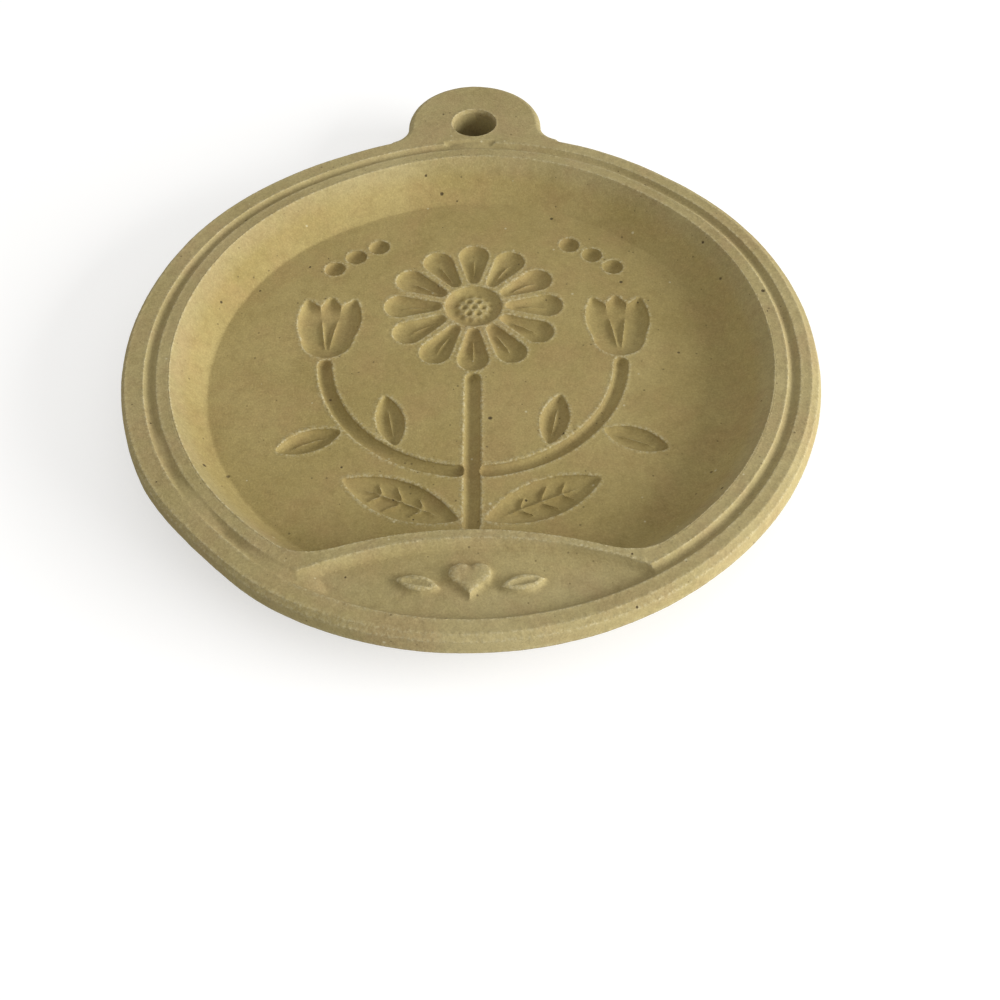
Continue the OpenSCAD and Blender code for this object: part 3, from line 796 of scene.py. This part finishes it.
class MOULD_OT_picture(bpy.types.Operator):
    """Sink the flower, stems, tulips, leaves and berries into the bowl's floor"""

    bl_idname = "mould.picture"
    bl_label = "Sunken picture"

    def execute(self, context):
        body, picture, clay, stage = sizes()
        lump = bpy.data.objects["clay_body"]
        for member, outlines in picture_outlines(picture).items():
            for outline in outlines:
                self.sink(lump, picture, member, outline)
        self.add_ribs(lump, picture)
        return {"FINISHED"}

    def sink(self, lump, picture, member, outline):
        """One shape is hollowed out of the floor."""
        if member == "main_stem":
            half = picture.stem_w / 2

            def middle(x, y, share):
                return x * share, y

            cutter = channel(member, outline, middle, half, picture.sink)
        elif member.startswith("side_stem"):
            half = picture.branch_w / 2

            def middle(x, y, share):
                reach = math.hypot(x, y - picture.branch_y)
                scale = (picture.branch_r + (reach - picture.branch_r) * share) / reach
                return x * scale, picture.branch_y + (y - picture.branch_y) * scale

            cutter = channel(member, outline, middle, half, picture.sink)
        else:
            cutter = dish(member, outline, picture.sink)
        combine(lump, cutter, "DIFFERENCE")

    def add_ribs(self, lump, picture):
        """Ridges and knobs that stay standing inside the sunken shapes."""
        crest = FIELD_Z - picture.sink * 0.4
        half = picture.vein_w / 2
        y = picture.flower_y
        knob_r = picture.button_r - picture.gap
        knob = pebble("knob", (0, y, crest - picture.sink), (knob_r, knob_r, picture.sink * 1.15))
        combine(lump, knob, "UNION")
        for ring, count in ((0, 1), (0.42, 6), (0.8, 12)):
            for i in range(count):
                turn = 2 * math.pi * (i + 0.5 * (count == 12)) / count
                x = knob_r * ring * math.cos(turn)
                seed = pebble(
                    "seed", (x, y + knob_r * ring * math.sin(turn), crest + picture.seed_r * (0.5 - ring)),
                    (picture.seed_r, picture.seed_r, picture.seed_r * 1.3), rings=8,
                )
                combine(lump, seed, "DIFFERENCE")
        for i in range(picture.petal_count):
            turn = math.pi / 2 + 2 * math.pi * i / picture.petal_count
            start, end = placed(
                [(picture.button_r + 2.2 * picture.gap, 0), (picture.flower_r - picture.petal_w * 0.45, 0)],
                0, y, turn,
            )
            combine(lump, rib("petal_rib", start, end, half, crest, picture.sink), "UNION")
        for mirror in (True, False):
            self.leaf_ribs(lump, picture, mirror, crest, half)

    def leaf_ribs(self, lump, picture, mirror, crest, half):
        """The ribs of one side's leaves and tulip."""
        size = picture.leaf_len
        place = {"x": picture.stem_w / 2 + picture.gap, "y": -picture.leaf_drop}
        place |= {"turn": picture.leaf_rise, "mirror": mirror}
        start, end = along(place, (0.06 * size, 0), (0.9 * size, 0))
        combine(lump, rib("leaf_rib", start, end, half, crest, picture.sink), "UNION")
        for share in (0.28, 0.46, 0.64):
            for side in (-1, 1):
                reach = picture.leaf_w * (0.42 - abs(share - 0.46) * 0.6)
                start, end = along(place, (share * size, 0), (share * size + reach, side * reach))
                combine(lump, rib("side_vein", start, end, half * 0.8, crest, picture.sink), "UNION")
        side = picture.branch_w / 2 + picture.gap
        for at, offset, turn in (
            (picture.outer_leaf_at, side, picture.outer_leaf_turn),
            (picture.inner_leaf_at, -side, picture.inner_leaf_turn),
        ):
            reach = picture.branch_r + offset
            place = {"x": reach * math.cos(-at), "y": picture.branch_y + reach * math.sin(-at)}
            place |= {"turn": turn, "mirror": mirror}
            start, end = along(place, (0.1 * picture.small_leaf_len, 0), (0.88 * picture.small_leaf_len, 0))
            combine(lump, rib("small_leaf_rib", start, end, half, crest, picture.sink), "UNION")
        for lean in (-0.5, 0.5):
            place = {"x": picture.branch_r, "y": picture.branch_y, "mirror": mirror}
            place |= {"turn": math.pi / 2 + lean * picture.tulip_lean}
            start, end = along(place, (0.12 * picture.tulip_h, 0), (0.74 * picture.tulip_h, 0))
            combine(lump, rib("tulip_rib", start, end, half, crest, picture.sink), "UNION")


def heart_y(picture):
    """Where the heart's middle is."""
    return picture.heart_inset - GROOVE_R


def panel_leaf_place(picture, mirror):
    """Where a panel leaf starts, and how it is turned."""
    lobe_r = picture.heart_side / 2 + picture.heart_swell
    half = picture.heart_side / math.sqrt(2)
    return {
        "x": lobe_r + half / 2 + picture.gap, "y": heart_y(picture) - lobe_r / 2,
        "turn": picture.panel_leaf_rise, "mirror": mirror,
    }


class MOULD_OT_panel_motif(bpy.types.Operator):
    """Raise the heart and its two leaves on the small panel"""

    bl_idname = "mould.panel_motif"
    bl_label = "Panel motif"

    def execute(self, context):
        picture = sizes()[1]
        lump = bpy.data.objects["clay_body"]
        combine(lump, self.heart(picture), "UNION")
        for mirror in (True, False):
            place = panel_leaf_place(picture, mirror)
            outline = placed(leaf_outline(picture.panel_leaf_len, picture.panel_leaf_w), **place)
            combine(lump, self.pillow("panel_leaf", outline, picture.motif_h), "UNION")
            start, end = along(place, (0.1 * picture.panel_leaf_len, 0), (0.9 * picture.panel_leaf_len, 0))
            depth = 0.4 * picture.motif_h
            line = rib("leaf_line", start, end, 0.6 * picture.vein_w, PANEL_Z + picture.motif_h + depth, depth)
            combine(lump, line, "DIFFERENCE")
        return {"FINISHED"}

    def heart(self, picture):
        """A heart of two round lobes and a square on its corner, with a crowned top."""
        y = heart_y(picture)
        half = picture.heart_side / math.sqrt(2)
        lobe_r = picture.heart_side / 2 + picture.heart_swell
        square = [(0, -half), (half, 0), (0, half), (-half, 0)]
        solid = self.pillow("heart", placed(square, 0, y), picture.motif_h)
        for side in (-1, 1):
            lobe = circle_outline(side * half / 2, y + half / 2, lobe_r)
            combine(solid, self.pillow("lobe", lobe, picture.motif_h), "UNION")
        return solid

    def pillow(self, name, outline, height, steps=6):
        """A solid with this outline and a crowned top, standing on the small panel."""
        mid_x = sum(x for x, _ in outline) / len(outline)
        mid_y = sum(y for _, y in outline) / len(outline)
        loops = [(outline, PANEL_Z - ABOVE), (outline, PANEL_Z + 0.35 * height)]
        for i in range(1, steps):
            bend = math.pi / 2 * i / steps
            share = math.cos(bend) ** 0.7
            loop = [(mid_x + (x - mid_x) * share, mid_y + (y - mid_y) * share) for x, y in outline]
            loops.append((loop, PANEL_Z + height * (0.35 + 0.65 * math.sin(bend))))
        return lofted(name, loops)


# Places where the clay was pressed in by hand: the angle round the rim in degrees,
# and in millimetres the distance from the middle, the reach and the depth
DENTS = ((118, 72, 40, 1.3), (50, 72, 35, 0.7), (225, 82, 24, 1.2))


class MOULD_OT_soften(bpy.types.Operator):
    """Turn the sharp model into fired clay, with worn edges and a hand-finished surface"""

    bl_idname = "mould.soften"
    bl_label = "Soften the clay"

    def execute(self, context):
        clay = sizes()[2]
        lump = bpy.data.objects["clay_body"]
        size = clay.voxel
        apply(lump, "REMESH", mode="VOXEL", voxel_size=size)
        apply(lump, "SMOOTH", factor=0.5, iterations=clay.soften)
        for turn, distance, reach, depth in DENTS:
            self.dent(lump, math.radians(turn), distance * MM, reach * MM, depth * MM)
        face = lump.vertex_groups.new(name="face")
        for vertex in lump.data.vertices:
            share = min(max((vertex.co.z - 1 * MM) / (3 * MM), 0), 1)
            face.add([vertex.index], share, "REPLACE")
        for name, scale, share in (("broad", 26 * MM, 1), ("small", 5 * MM, 0.3), ("sandy", 1.1 * MM, 0.2)):
            texture = bpy.data.textures.new(name, "CLOUDS")
            texture.noise_scale = scale
            texture.noise_depth = 1
            apply(
                lump, "DISPLACE", texture=texture, strength=-share * clay.wobble, mid_level=0,
                texture_coords="LOCAL", vertex_group="face",
            )
        lump.vertex_groups.clear()
        self.mark_edges_and_creases(lump, max(1, round(4 * (clay.edge_and_crease_reach / size) ** 2)))
        return {"FINISHED"}

    def dent(self, lump, turn, distance, reach, depth):
        """The clay is pushed towards the middle around one place."""
        ends = []
        for place in (distance, distance - depth):
            bpy.ops.object.empty_add(location=(place * math.cos(turn), place * math.sin(turn), RIM_Z / 2))
            ends.append(bpy.context.object)
        bpy.context.view_layer.update()
        apply(
            lump, "WARP", object_from=ends[0], object_to=ends[1],
            falloff_radius=reach, falloff_type="SMOOTH",
        )
        for end in ends:
            bpy.data.objects.remove(end)

    def mark_edges_and_creases(self, lump, passes):
        """Each point keeps how far, in millimetres, it stands below its smoothed surroundings. The finish paints
        shade where a point lies deep, and rubbed pale clay with a painted highlight where it stands proud.
        """
        smooth = twin(lump, "smoothed")
        apply(smooth, "SMOOTH", factor=0.5, iterations=passes)
        count = 3 * len(lump.data.vertices)
        points, level, normals = (numpy.empty(count, dtype=numpy.float32) for _ in range(3))
        lump.data.vertices.foreach_get("co", points)
        smooth.data.vertices.foreach_get("co", level)
        lump.data.vertices.foreach_get("normal", normals)
        depth = ((level - points) * normals).reshape(-1, 3).sum(axis=1) / MM
        lump.data.attributes.new("cavity_depth", "FLOAT", "POINT").data.foreach_set("value", depth)
        discard(smooth)


def part_off(lump, cutter, name):
    """The overlap with the cutter becomes an object of its own, and the lump loses it."""
    member = twin(lump, name)
    combine(member, cutter, "INTERSECT", keep=True)
    combine(lump, cutter, "DIFFERENCE")
    return member


def lug_region(body):
    """The space that holds the lug and its neck."""
    reach = DISC_R + body.lug_fillet_r
    y = lug_y()
    fillet_y = (reach ** 2 + y ** 2 - (body.lug_r + body.lug_fillet_r) ** 2) / (2 * y)
    half = DISC_R * math.sin(math.acos(fillet_y / reach))
    low = (-half, fillet_y - 3 * body.lug_fillet_r, -ABOVE)
    space = block("lug_region", low, (half, LUG_END_Y + ABOVE, RIM_Z + ABOVE))
    return combine(space, disc_core(body), "DIFFERENCE")


class MOULD_OT_members(bpy.types.Operator):
    """Divide the finished body into its named members, which meet face to face"""

    bl_idname = "mould.members"
    bl_label = "Members"

    def execute(self, context):
        body, picture, clay, stage = sizes()
        lump = bpy.data.objects["clay_body"]
        low, high = -2 * ABOVE, RIM_Z + 2 * ABOVE
        wide = 2 * DISC_R
        axis_y = ridge_axis_y()
        ridge_foot_r = body.ridge_arc_r + body.ridge_bowl_run
        members = {}
        members["hanging_lug"] = part_off(lump, lug_region(body), "clay_hanging_lug")
        slab = block("slab_region", (-wide, -wide, low), (wide, wide, SLAB_Z))
        members["base_slab"] = part_off(lump, slab, "clay_base_slab")
        face = part_off(lump, post("face_region", GROOVE_R, low, high), "face")
        members["outer_rim"] = lump
        lower = part_off(face, post("ridge_region", ridge_foot_r, low, high, y=axis_y), "lower")
        panel = post("panel_region", panel_radius(body), low, high, x=body.panel_shift, y=axis_y)
        members["lower_panel"] = part_off(lower, panel, "clay_lower_panel")
        members["divider_ridge"] = lower
        bowl = part_off(face, post("bowl_region", LIP_R, low, high), "bowl")
        members["inner_lip"] = face
        members["picture_field"] = part_off(
            bowl, post("floor_region", FLOOR_R, low, high), "clay_picture_field"
        )
        members["bowl_wall"] = bowl
        for node, outlines in picture_outlines(picture).items():
            cutter = self.region(outlines, low, high)
            members[node] = part_off(members["picture_field"], cutter, f"clay_{node}")
        for node, outlines in self.motif_outlines(picture).items():
            cutter = self.region(outlines, PANEL_Z - 0.2 * picture.motif_h, high)
            members[node] = part_off(members["lower_panel"], cutter, f"clay_{node}")
        for node, share in (("base_slab", 0.4), ("outer_rim", 0.8), ("picture_field", 0.8)):
            apply(members[node], "DECIMATE", ratio=share)
        for node, member in members.items():
            member.name = member.data.name = f"clay_{node}"
            choose(member)
            bpy.ops.object.shade_smooth_by_angle(angle=math.radians(50))
            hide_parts(node)
            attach(member, "root")
        return {"FINISHED"}

    def region(self, outlines, low, high):
        """Upright solids over these outlines, joined where they overlap."""
        whole = None
        for outline in outlines:
            piece = prism("region", outline, low, high)
            whole = piece if whole is None else combine(whole, piece, "UNION")
        return whole

    def motif_outlines(self, picture):
        """The outlines of the raised motif's members."""
        y = heart_y(picture)
        half = picture.heart_side / math.sqrt(2)
        lobe_r = picture.heart_side / 2 + picture.heart_swell
        heart = [placed([(0, -half), (half, 0), (0, half), (-half, 0)], 0, y)]
        heart += [circle_outline(side * half / 2, y + half / 2, lobe_r) for side in (-1, 1)]
        leaf = leaf_outline(picture.panel_leaf_len, picture.panel_leaf_w)
        return {
            "panel_heart": heart,
            "panel_leaf_left": [placed(leaf, **panel_leaf_place(picture, True))],
            "panel_leaf_right": [placed(leaf, **panel_leaf_place(picture, False))],
        }


def new_node(tree, kind, **inputs):
    """A shader node with its unlinked inputs set by name."""
    node = tree.nodes.new(kind)
    for key, value in inputs.items():
        node.inputs[key.replace("_", " ")].default_value = value
    return node


def ramp(tree, value, stops):
    """A colour ramp on a value, from (place, colour) stops."""
    node = tree.nodes.new("ShaderNodeValToRGB")
    tree.links.new(value, node.inputs["Fac"])
    elements = node.color_ramp.elements
    while len(elements) < len(stops):
        elements.new(0.5)
    for element, (place, tone) in zip(elements, stops):
        element.position = place
        element.color = (*tone, 1) if isinstance(tone, tuple) else (tone, tone, tone, 1)
    return node.outputs["Color"]


def noise(tree, where, scale, detail=2.0, rough=0.5):
    """A noise pattern at so many cells a metre."""
    node = new_node(tree, "ShaderNodeTexNoise", Scale=scale, Detail=detail, Roughness=rough)
    tree.links.new(where, node.inputs["Vector"])
    return node.outputs["Fac"]


def mix(tree, share, first, second, mode="MIX"):
    """Two colours mixed by a share."""
    node = tree.nodes.new("ShaderNodeMix")
    node.data_type = "RGBA"
    node.blend_type = mode
    for socket, value in ((node.inputs[0], share), (node.inputs[6], first), (node.inputs[7], second)):
        if isinstance(value, bpy.types.NodeSocket):
            tree.links.new(value, socket)
        else:
            socket.default_value = value if isinstance(value, float) else (*value, 1)
    return node.outputs[2]


def maths(tree, operation, first, second=0.0, clamp=False):
    """A sum of two values, or of a value and a number."""
    node = tree.nodes.new("ShaderNodeMath")
    node.operation = operation
    node.use_clamp = clamp
    for socket, value in ((node.inputs[0], first), (node.inputs[1], second)):
        if isinstance(value, bpy.types.NodeSocket):
            tree.links.new(value, socket)
        else:
            socket.default_value = value
    return node.outputs[0]


def specks(tree, where, per_metre, share, radius):
    """Scattered round specks: cells a metre, the share of cells that hold one, and its size in cells."""
    cells = new_node(tree, "ShaderNodeTexVoronoi", Scale=per_metre, Randomness=1.0)
    tree.links.new(where, cells.inputs["Vector"])
    chance = tree.nodes.new("ShaderNodeSeparateColor")
    tree.links.new(cells.outputs["Color"], chance.inputs[0])
    size = maths(tree, "ADD", chance.outputs[1], 0.4)
    core = ramp(
        tree, maths(tree, "DIVIDE", cells.outputs["Distance"], size), [(0.5 * radius, 1.0), (radius, 0.0)],
    )
    return maths(tree, "MULTIPLY", core, maths(tree, "GREATER_THAN", chance.outputs[0], 1 - share))


def in_the_bowl(tree, where):
    """One inside the bowl and below the lip, nought elsewhere, with soft borders."""
    flat = tree.nodes.new("ShaderNodeVectorMath")
    flat.operation = "MULTIPLY"
    tree.links.new(where, flat.inputs[0])
    flat.inputs[1].default_value = (1, 1, 0)
    reach = tree.nodes.new("ShaderNodeVectorMath")
    reach.operation = "LENGTH"
    tree.links.new(flat.outputs["Vector"], reach.inputs[0])
    axes = tree.nodes.new("ShaderNodeSeparateXYZ")
    tree.links.new(where, axes.inputs[0])
    inside = ramp(tree, maths(tree, "DIVIDE", reach.outputs["Value"], LIP_R), [(0.94, 1.0), (1.0, 0.0)])
    low = ramp(tree, maths(tree, "DIVIDE", axes.outputs["Z"], RIM_Z), [(0.7, 1.0), (0.97, 0.0)])
    return maths(tree, "MULTIPLY", inside, low)


def stoneware(name, clay):
    """Unglazed buff stoneware: mottled clay, sandy grain, pits with painted shade inside, rubbed edges with a painted
    highlight, painted shade in its creases and corners, and a warmer painted shade over the bowl's inside.
    """
    material = bpy.data.materials.new(name)
    material.use_nodes = True
    tree = material.node_tree
    shader = tree.nodes["Principled BSDF"]
    where = tree.nodes.new("ShaderNodeTexCoord").outputs["Object"]
    cavity_depth = tree.nodes.new("ShaderNodeAttribute")
    cavity_depth.attribute_name = "cavity_depth"
    below = cavity_depth.outputs["Fac"]
    convex_edge = ramp(tree, maths(tree, "MULTIPLY", below, -1.0), [(0.02, 0.0), (0.14, 1.0)])
    # Painted shade: where a point lies below its smoothed surroundings, in creases and corners, the clay is darkened
    # towards brown.
    crease_shade = ramp(tree, below, [(0.05, 0.0), (0.28, 0.22)])
    brown, pale = tuple(clay.clay_brown_and_crease_shade), tuple(clay.clay_pale)
    tone = mix(tree, ramp(tree, noise(tree, where, 45, 3), [(0.35, 0.0), (0.7, 0.8)]), tuple(clay.clay), pale)
    tone = mix(tree, ramp(tree, noise(tree, where, 70, 4, 0.6), [(0.56, 0.0), (0.78, 0.3)]), tone, brown)
    tone = mix(tree, ramp(tree, noise(tree, where, 115, 3), [(0.45, 0.0), (0.68, 0.6)]), tone, tuple(clay.clay_rosy))
    tone = mix(tree, ramp(tree, noise(tree, where, 1100, 2), [(0.5, 0.0), (0.72, 0.3)]), tone, pale)
    tone = mix(tree, ramp(tree, noise(tree, where, 380, 2), [(0.52, 0.0), (0.75, 0.22)]), tone, brown)
    # The painted shade in creases and corners is mixed in here.
    tone = mix(tree, crease_shade, tone, brown)
    # Painted shade: the bowl's inside is tinted warmer and darker.
    tone = mix(tree, in_the_bowl(tree, where), tone, tuple(clay.bowl_shade_tint), "MULTIPLY")
    # Pale crumbly specks along the convex edges: rubbed clay, and a painted highlight along the crests and rims.
    rubbed_and_highlight = maths(tree, "MULTIPLY", convex_edge, ramp(tree, noise(tree, where, 1700, 3, 0.7), [(0.45, 0.0), (0.6, 0.75)]))
    tone = mix(tree, rubbed_and_highlight, tone, tuple(clay.fleck))
    grain = noise(tree, where, 2200, 3, 0.75)
    coarse = noise(tree, where, 700, 2, 0.6)
    sand = maths(tree, "ADD", maths(tree, "MULTIPLY", grain, 0.7), maths(tree, "MULTIPLY", coarse, 0.3))
    tone = mix(tree, 0.55, tone, ramp(tree, sand, [(0.3, 0.33), (0.7, 0.67)]), "OVERLAY")
    tone = mix(tree, specks(tree, where, 520, 0.05, 0.16), tone, tuple(clay.fleck))
    # Small dark specks, mixed part way towards the colour of the pits' painted shade.
    speck = specks(tree, where, 640, 0.16, 0.16)
    tone = mix(tree, maths(tree, "MULTIPLY", speck, 0.6), tone, tuple(clay.shaded_pit))
    # Small pits, dented by the bump below, with painted shade inside them.
    shaded_pit = specks(tree, where, 260, 0.16, 0.11)
    tone = mix(tree, shaded_pit, tone, tuple(clay.shaded_pit))
    tree.links.new(tone, shader.inputs["Base Color"])
    shader.inputs["Roughness"].default_value = 0.92
    shader.inputs["Specular IOR Level"].default_value = 0.25
    crumbs = maths(tree, "MULTIPLY", noise(tree, where, 1300, 2, 0.6), maths(tree, "MULTIPLY", convex_edge, 2.0))
    height = maths(tree, "SUBTRACT", maths(tree, "ADD", sand, crumbs), maths(tree, "MULTIPLY", shaded_pit, 2.0))
    bump = new_node(tree, "ShaderNodeBump", Strength=0.5, Distance=0.2 * MM)
    tree.links.new(height, bump.inputs["Height"])
    tree.links.new(bump.outputs["Normal"], shader.inputs["Normal"])
    return material


SLOTS = {
    "base_slab": "stoneware_back",
    "outer_rim": "stoneware_face",
    "inner_lip": "stoneware_face",
    "bowl_wall": "stoneware_face",
    "divider_ridge": "stoneware_face",
    "lower_panel": "stoneware_face",
    "hanging_lug": "stoneware_face",
    "picture_field": "stoneware_face",
}


class MOULD_OT_finish(bpy.types.Operator):
    """Give every member the look of fired stoneware"""

    bl_idname = "mould.finish"
    bl_label = "Stoneware finish"

    def execute(self, context):
        clay = sizes()[2]
        materials = {}
        for node in frame["nodes"]:
            slot = SLOTS.get(node, "stoneware_relief")
            if slot not in materials:
                materials[slot] = stoneware(slot, clay)
            member = bpy.data.objects[f"clay_{node}"]
            member.data.materials.clear()
            member.data.materials.append(materials[slot])
        return {"FINISHED"}


def lamp(name, place, aim, width, height, power, tint=(1, 1, 1)):
    """A soft light with a rectangular face that shines at a point."""
    bpy.ops.object.light_add(type="AREA", location=place)
    item = bpy.context.object
    item.name = name
    item.data.shape = "RECTANGLE"
    item.data.size = width
    item.data.size_y = height
    item.data.energy = power
    item.data.color = tint
    item.rotation_euler = (Vector(aim) - Vector(place)).to_track_quat("-Z", "Y").to_euler()
    return item


def pale_floor():
    """A white floor that looks a little brighter to the camera and keeps the shadow."""
    material = bpy.data.materials.new("pale_floor")
    material.use_nodes = True
    tree = material.node_tree
    shader = tree.nodes["Principled BSDF"]
    shader.inputs["Base Color"].default_value = (0.6, 0.6, 0.6, 1)
    shader.inputs["Roughness"].default_value = 1.0
    shader.inputs["Specular IOR Level"].default_value = 0.0
    shader.inputs["Emission Color"].default_value = (1, 1, 1, 1)
    path = tree.nodes.new("ShaderNodeLightPath")
    seen = maths(tree, "MAXIMUM", path.outputs["Is Camera Ray"], path.outputs["Is Glossy Ray"])
    seen = maths(tree, "MAXIMUM", seen, path.outputs["Is Transmission Ray"])
    tree.links.new(maths(tree, "MULTIPLY", seen, 0.5), shader.inputs["Emission Strength"])
    return material


class MOULD_OT_stage(bpy.types.Operator):
    """Set up the floor, the soft light and the camera"""

    bl_idname = "mould.stage"
    bl_label = "Stage"

    def execute(self, context):
        stage = sizes()[3]
        deselect()
        bpy.ops.mesh.primitive_plane_add(size=6)
        floor = named("floor")
        floor.data.materials.append(pale_floor())
        lamp("window", stage.lamp_place, (0, 0, 0), stage.lamp_w, stage.lamp_h, stage.lamp_power)
        world = bpy.data.worlds.new("room")
        world.use_nodes = True
        world.node_tree.nodes["Background"].inputs["Color"].default_value = (1, 0.985, 0.95, 1)
        world.node_tree.nodes["Background"].inputs["Strength"].default_value = stage.room_light
        context.scene.world = world
        context.scene.view_settings.view_transform = "Standard"
        self.camera(context, stage)
        return {"FINISHED"}

    def camera(self, context, stage):
        """The camera at the photograph's place."""
        data = bpy.data.cameras.new("camera")
        data.sensor_width = 36
        data.lens = stage.focal_px / 1000 * data.sensor_width
        data.clip_start = 0.01
        item = bpy.data.objects.new("camera", data)
        context.scene.collection.objects.link(item)
        forward = Vector((0, math.cos(stage.elevation), -math.sin(stage.elevation)))
        right = Vector((1, 0, 0))
        up = right.cross(forward)
        turn = Matrix.Rotation(stage.roll, 3, forward)
        axes = Matrix((turn @ right, turn @ up, -forward)).transposed()
        place = Vector((stage.camera_x, stage.camera_y, stage.camera_z))
        item.matrix_world = Matrix.Translation(place) @ axes.to_4x4()
        context.scene.camera = item


class MOULD_PT_sidebar(bpy.types.Panel):
    """The mould's steps and sizes in the sidebar"""

    bl_label = "Cookie Mould"
    bl_idname = "MOULD_PT_sidebar"
    bl_space_type = "VIEW_3D"
    bl_region_type = "UI"
    bl_category = "Cookie Mould"

    def draw(self, context):
        for operator in STEPS:
            self.layout.operator(operator.bl_idname)
        for group in sizes():
            box = self.layout.box()
            for key in group.__annotations__:
                box.prop(group, key)


GROUPS = {
    "mould_body": MouldBodySizes,
    "mould_picture": MouldPictureSizes,
    "mould_clay": MouldClay,
    "mould_stage": MouldStage,
}
STEPS = (
    MOULD_OT_clay_body,
    MOULD_OT_picture,
    MOULD_OT_panel_motif,
    MOULD_OT_soften,
    MOULD_OT_members,
    MOULD_OT_finish,
    MOULD_OT_stage,
)


def register():
    """Adds the classes and the scene's settings."""
    for item in (*GROUPS.values(), *STEPS, MOULD_PT_sidebar):
        bpy.utils.register_class(item)
    for name, group in GROUPS.items():
        setattr(bpy.types.Scene, name, bpy.props.PointerProperty(type=group))


def unregister():
    """Takes the classes and the settings away again."""
    for name in GROUPS:
        delattr(bpy.types.Scene, name)
    for item in reversed((*GROUPS.values(), *STEPS, MOULD_PT_sidebar)):
        bpy.utils.unregister_class(item)


def main():
    """Registers the add-on and runs its operators in order."""
    register()
    bpy.ops.mould.clay_body()
    bpy.ops.mould.picture()
    bpy.ops.mould.panel_motif()
    bpy.ops.mould.soften()
    bpy.ops.mould.members()
    bpy.ops.mould.finish()
    bpy.ops.mould.stage()


if __name__ == "__main__":
    main()
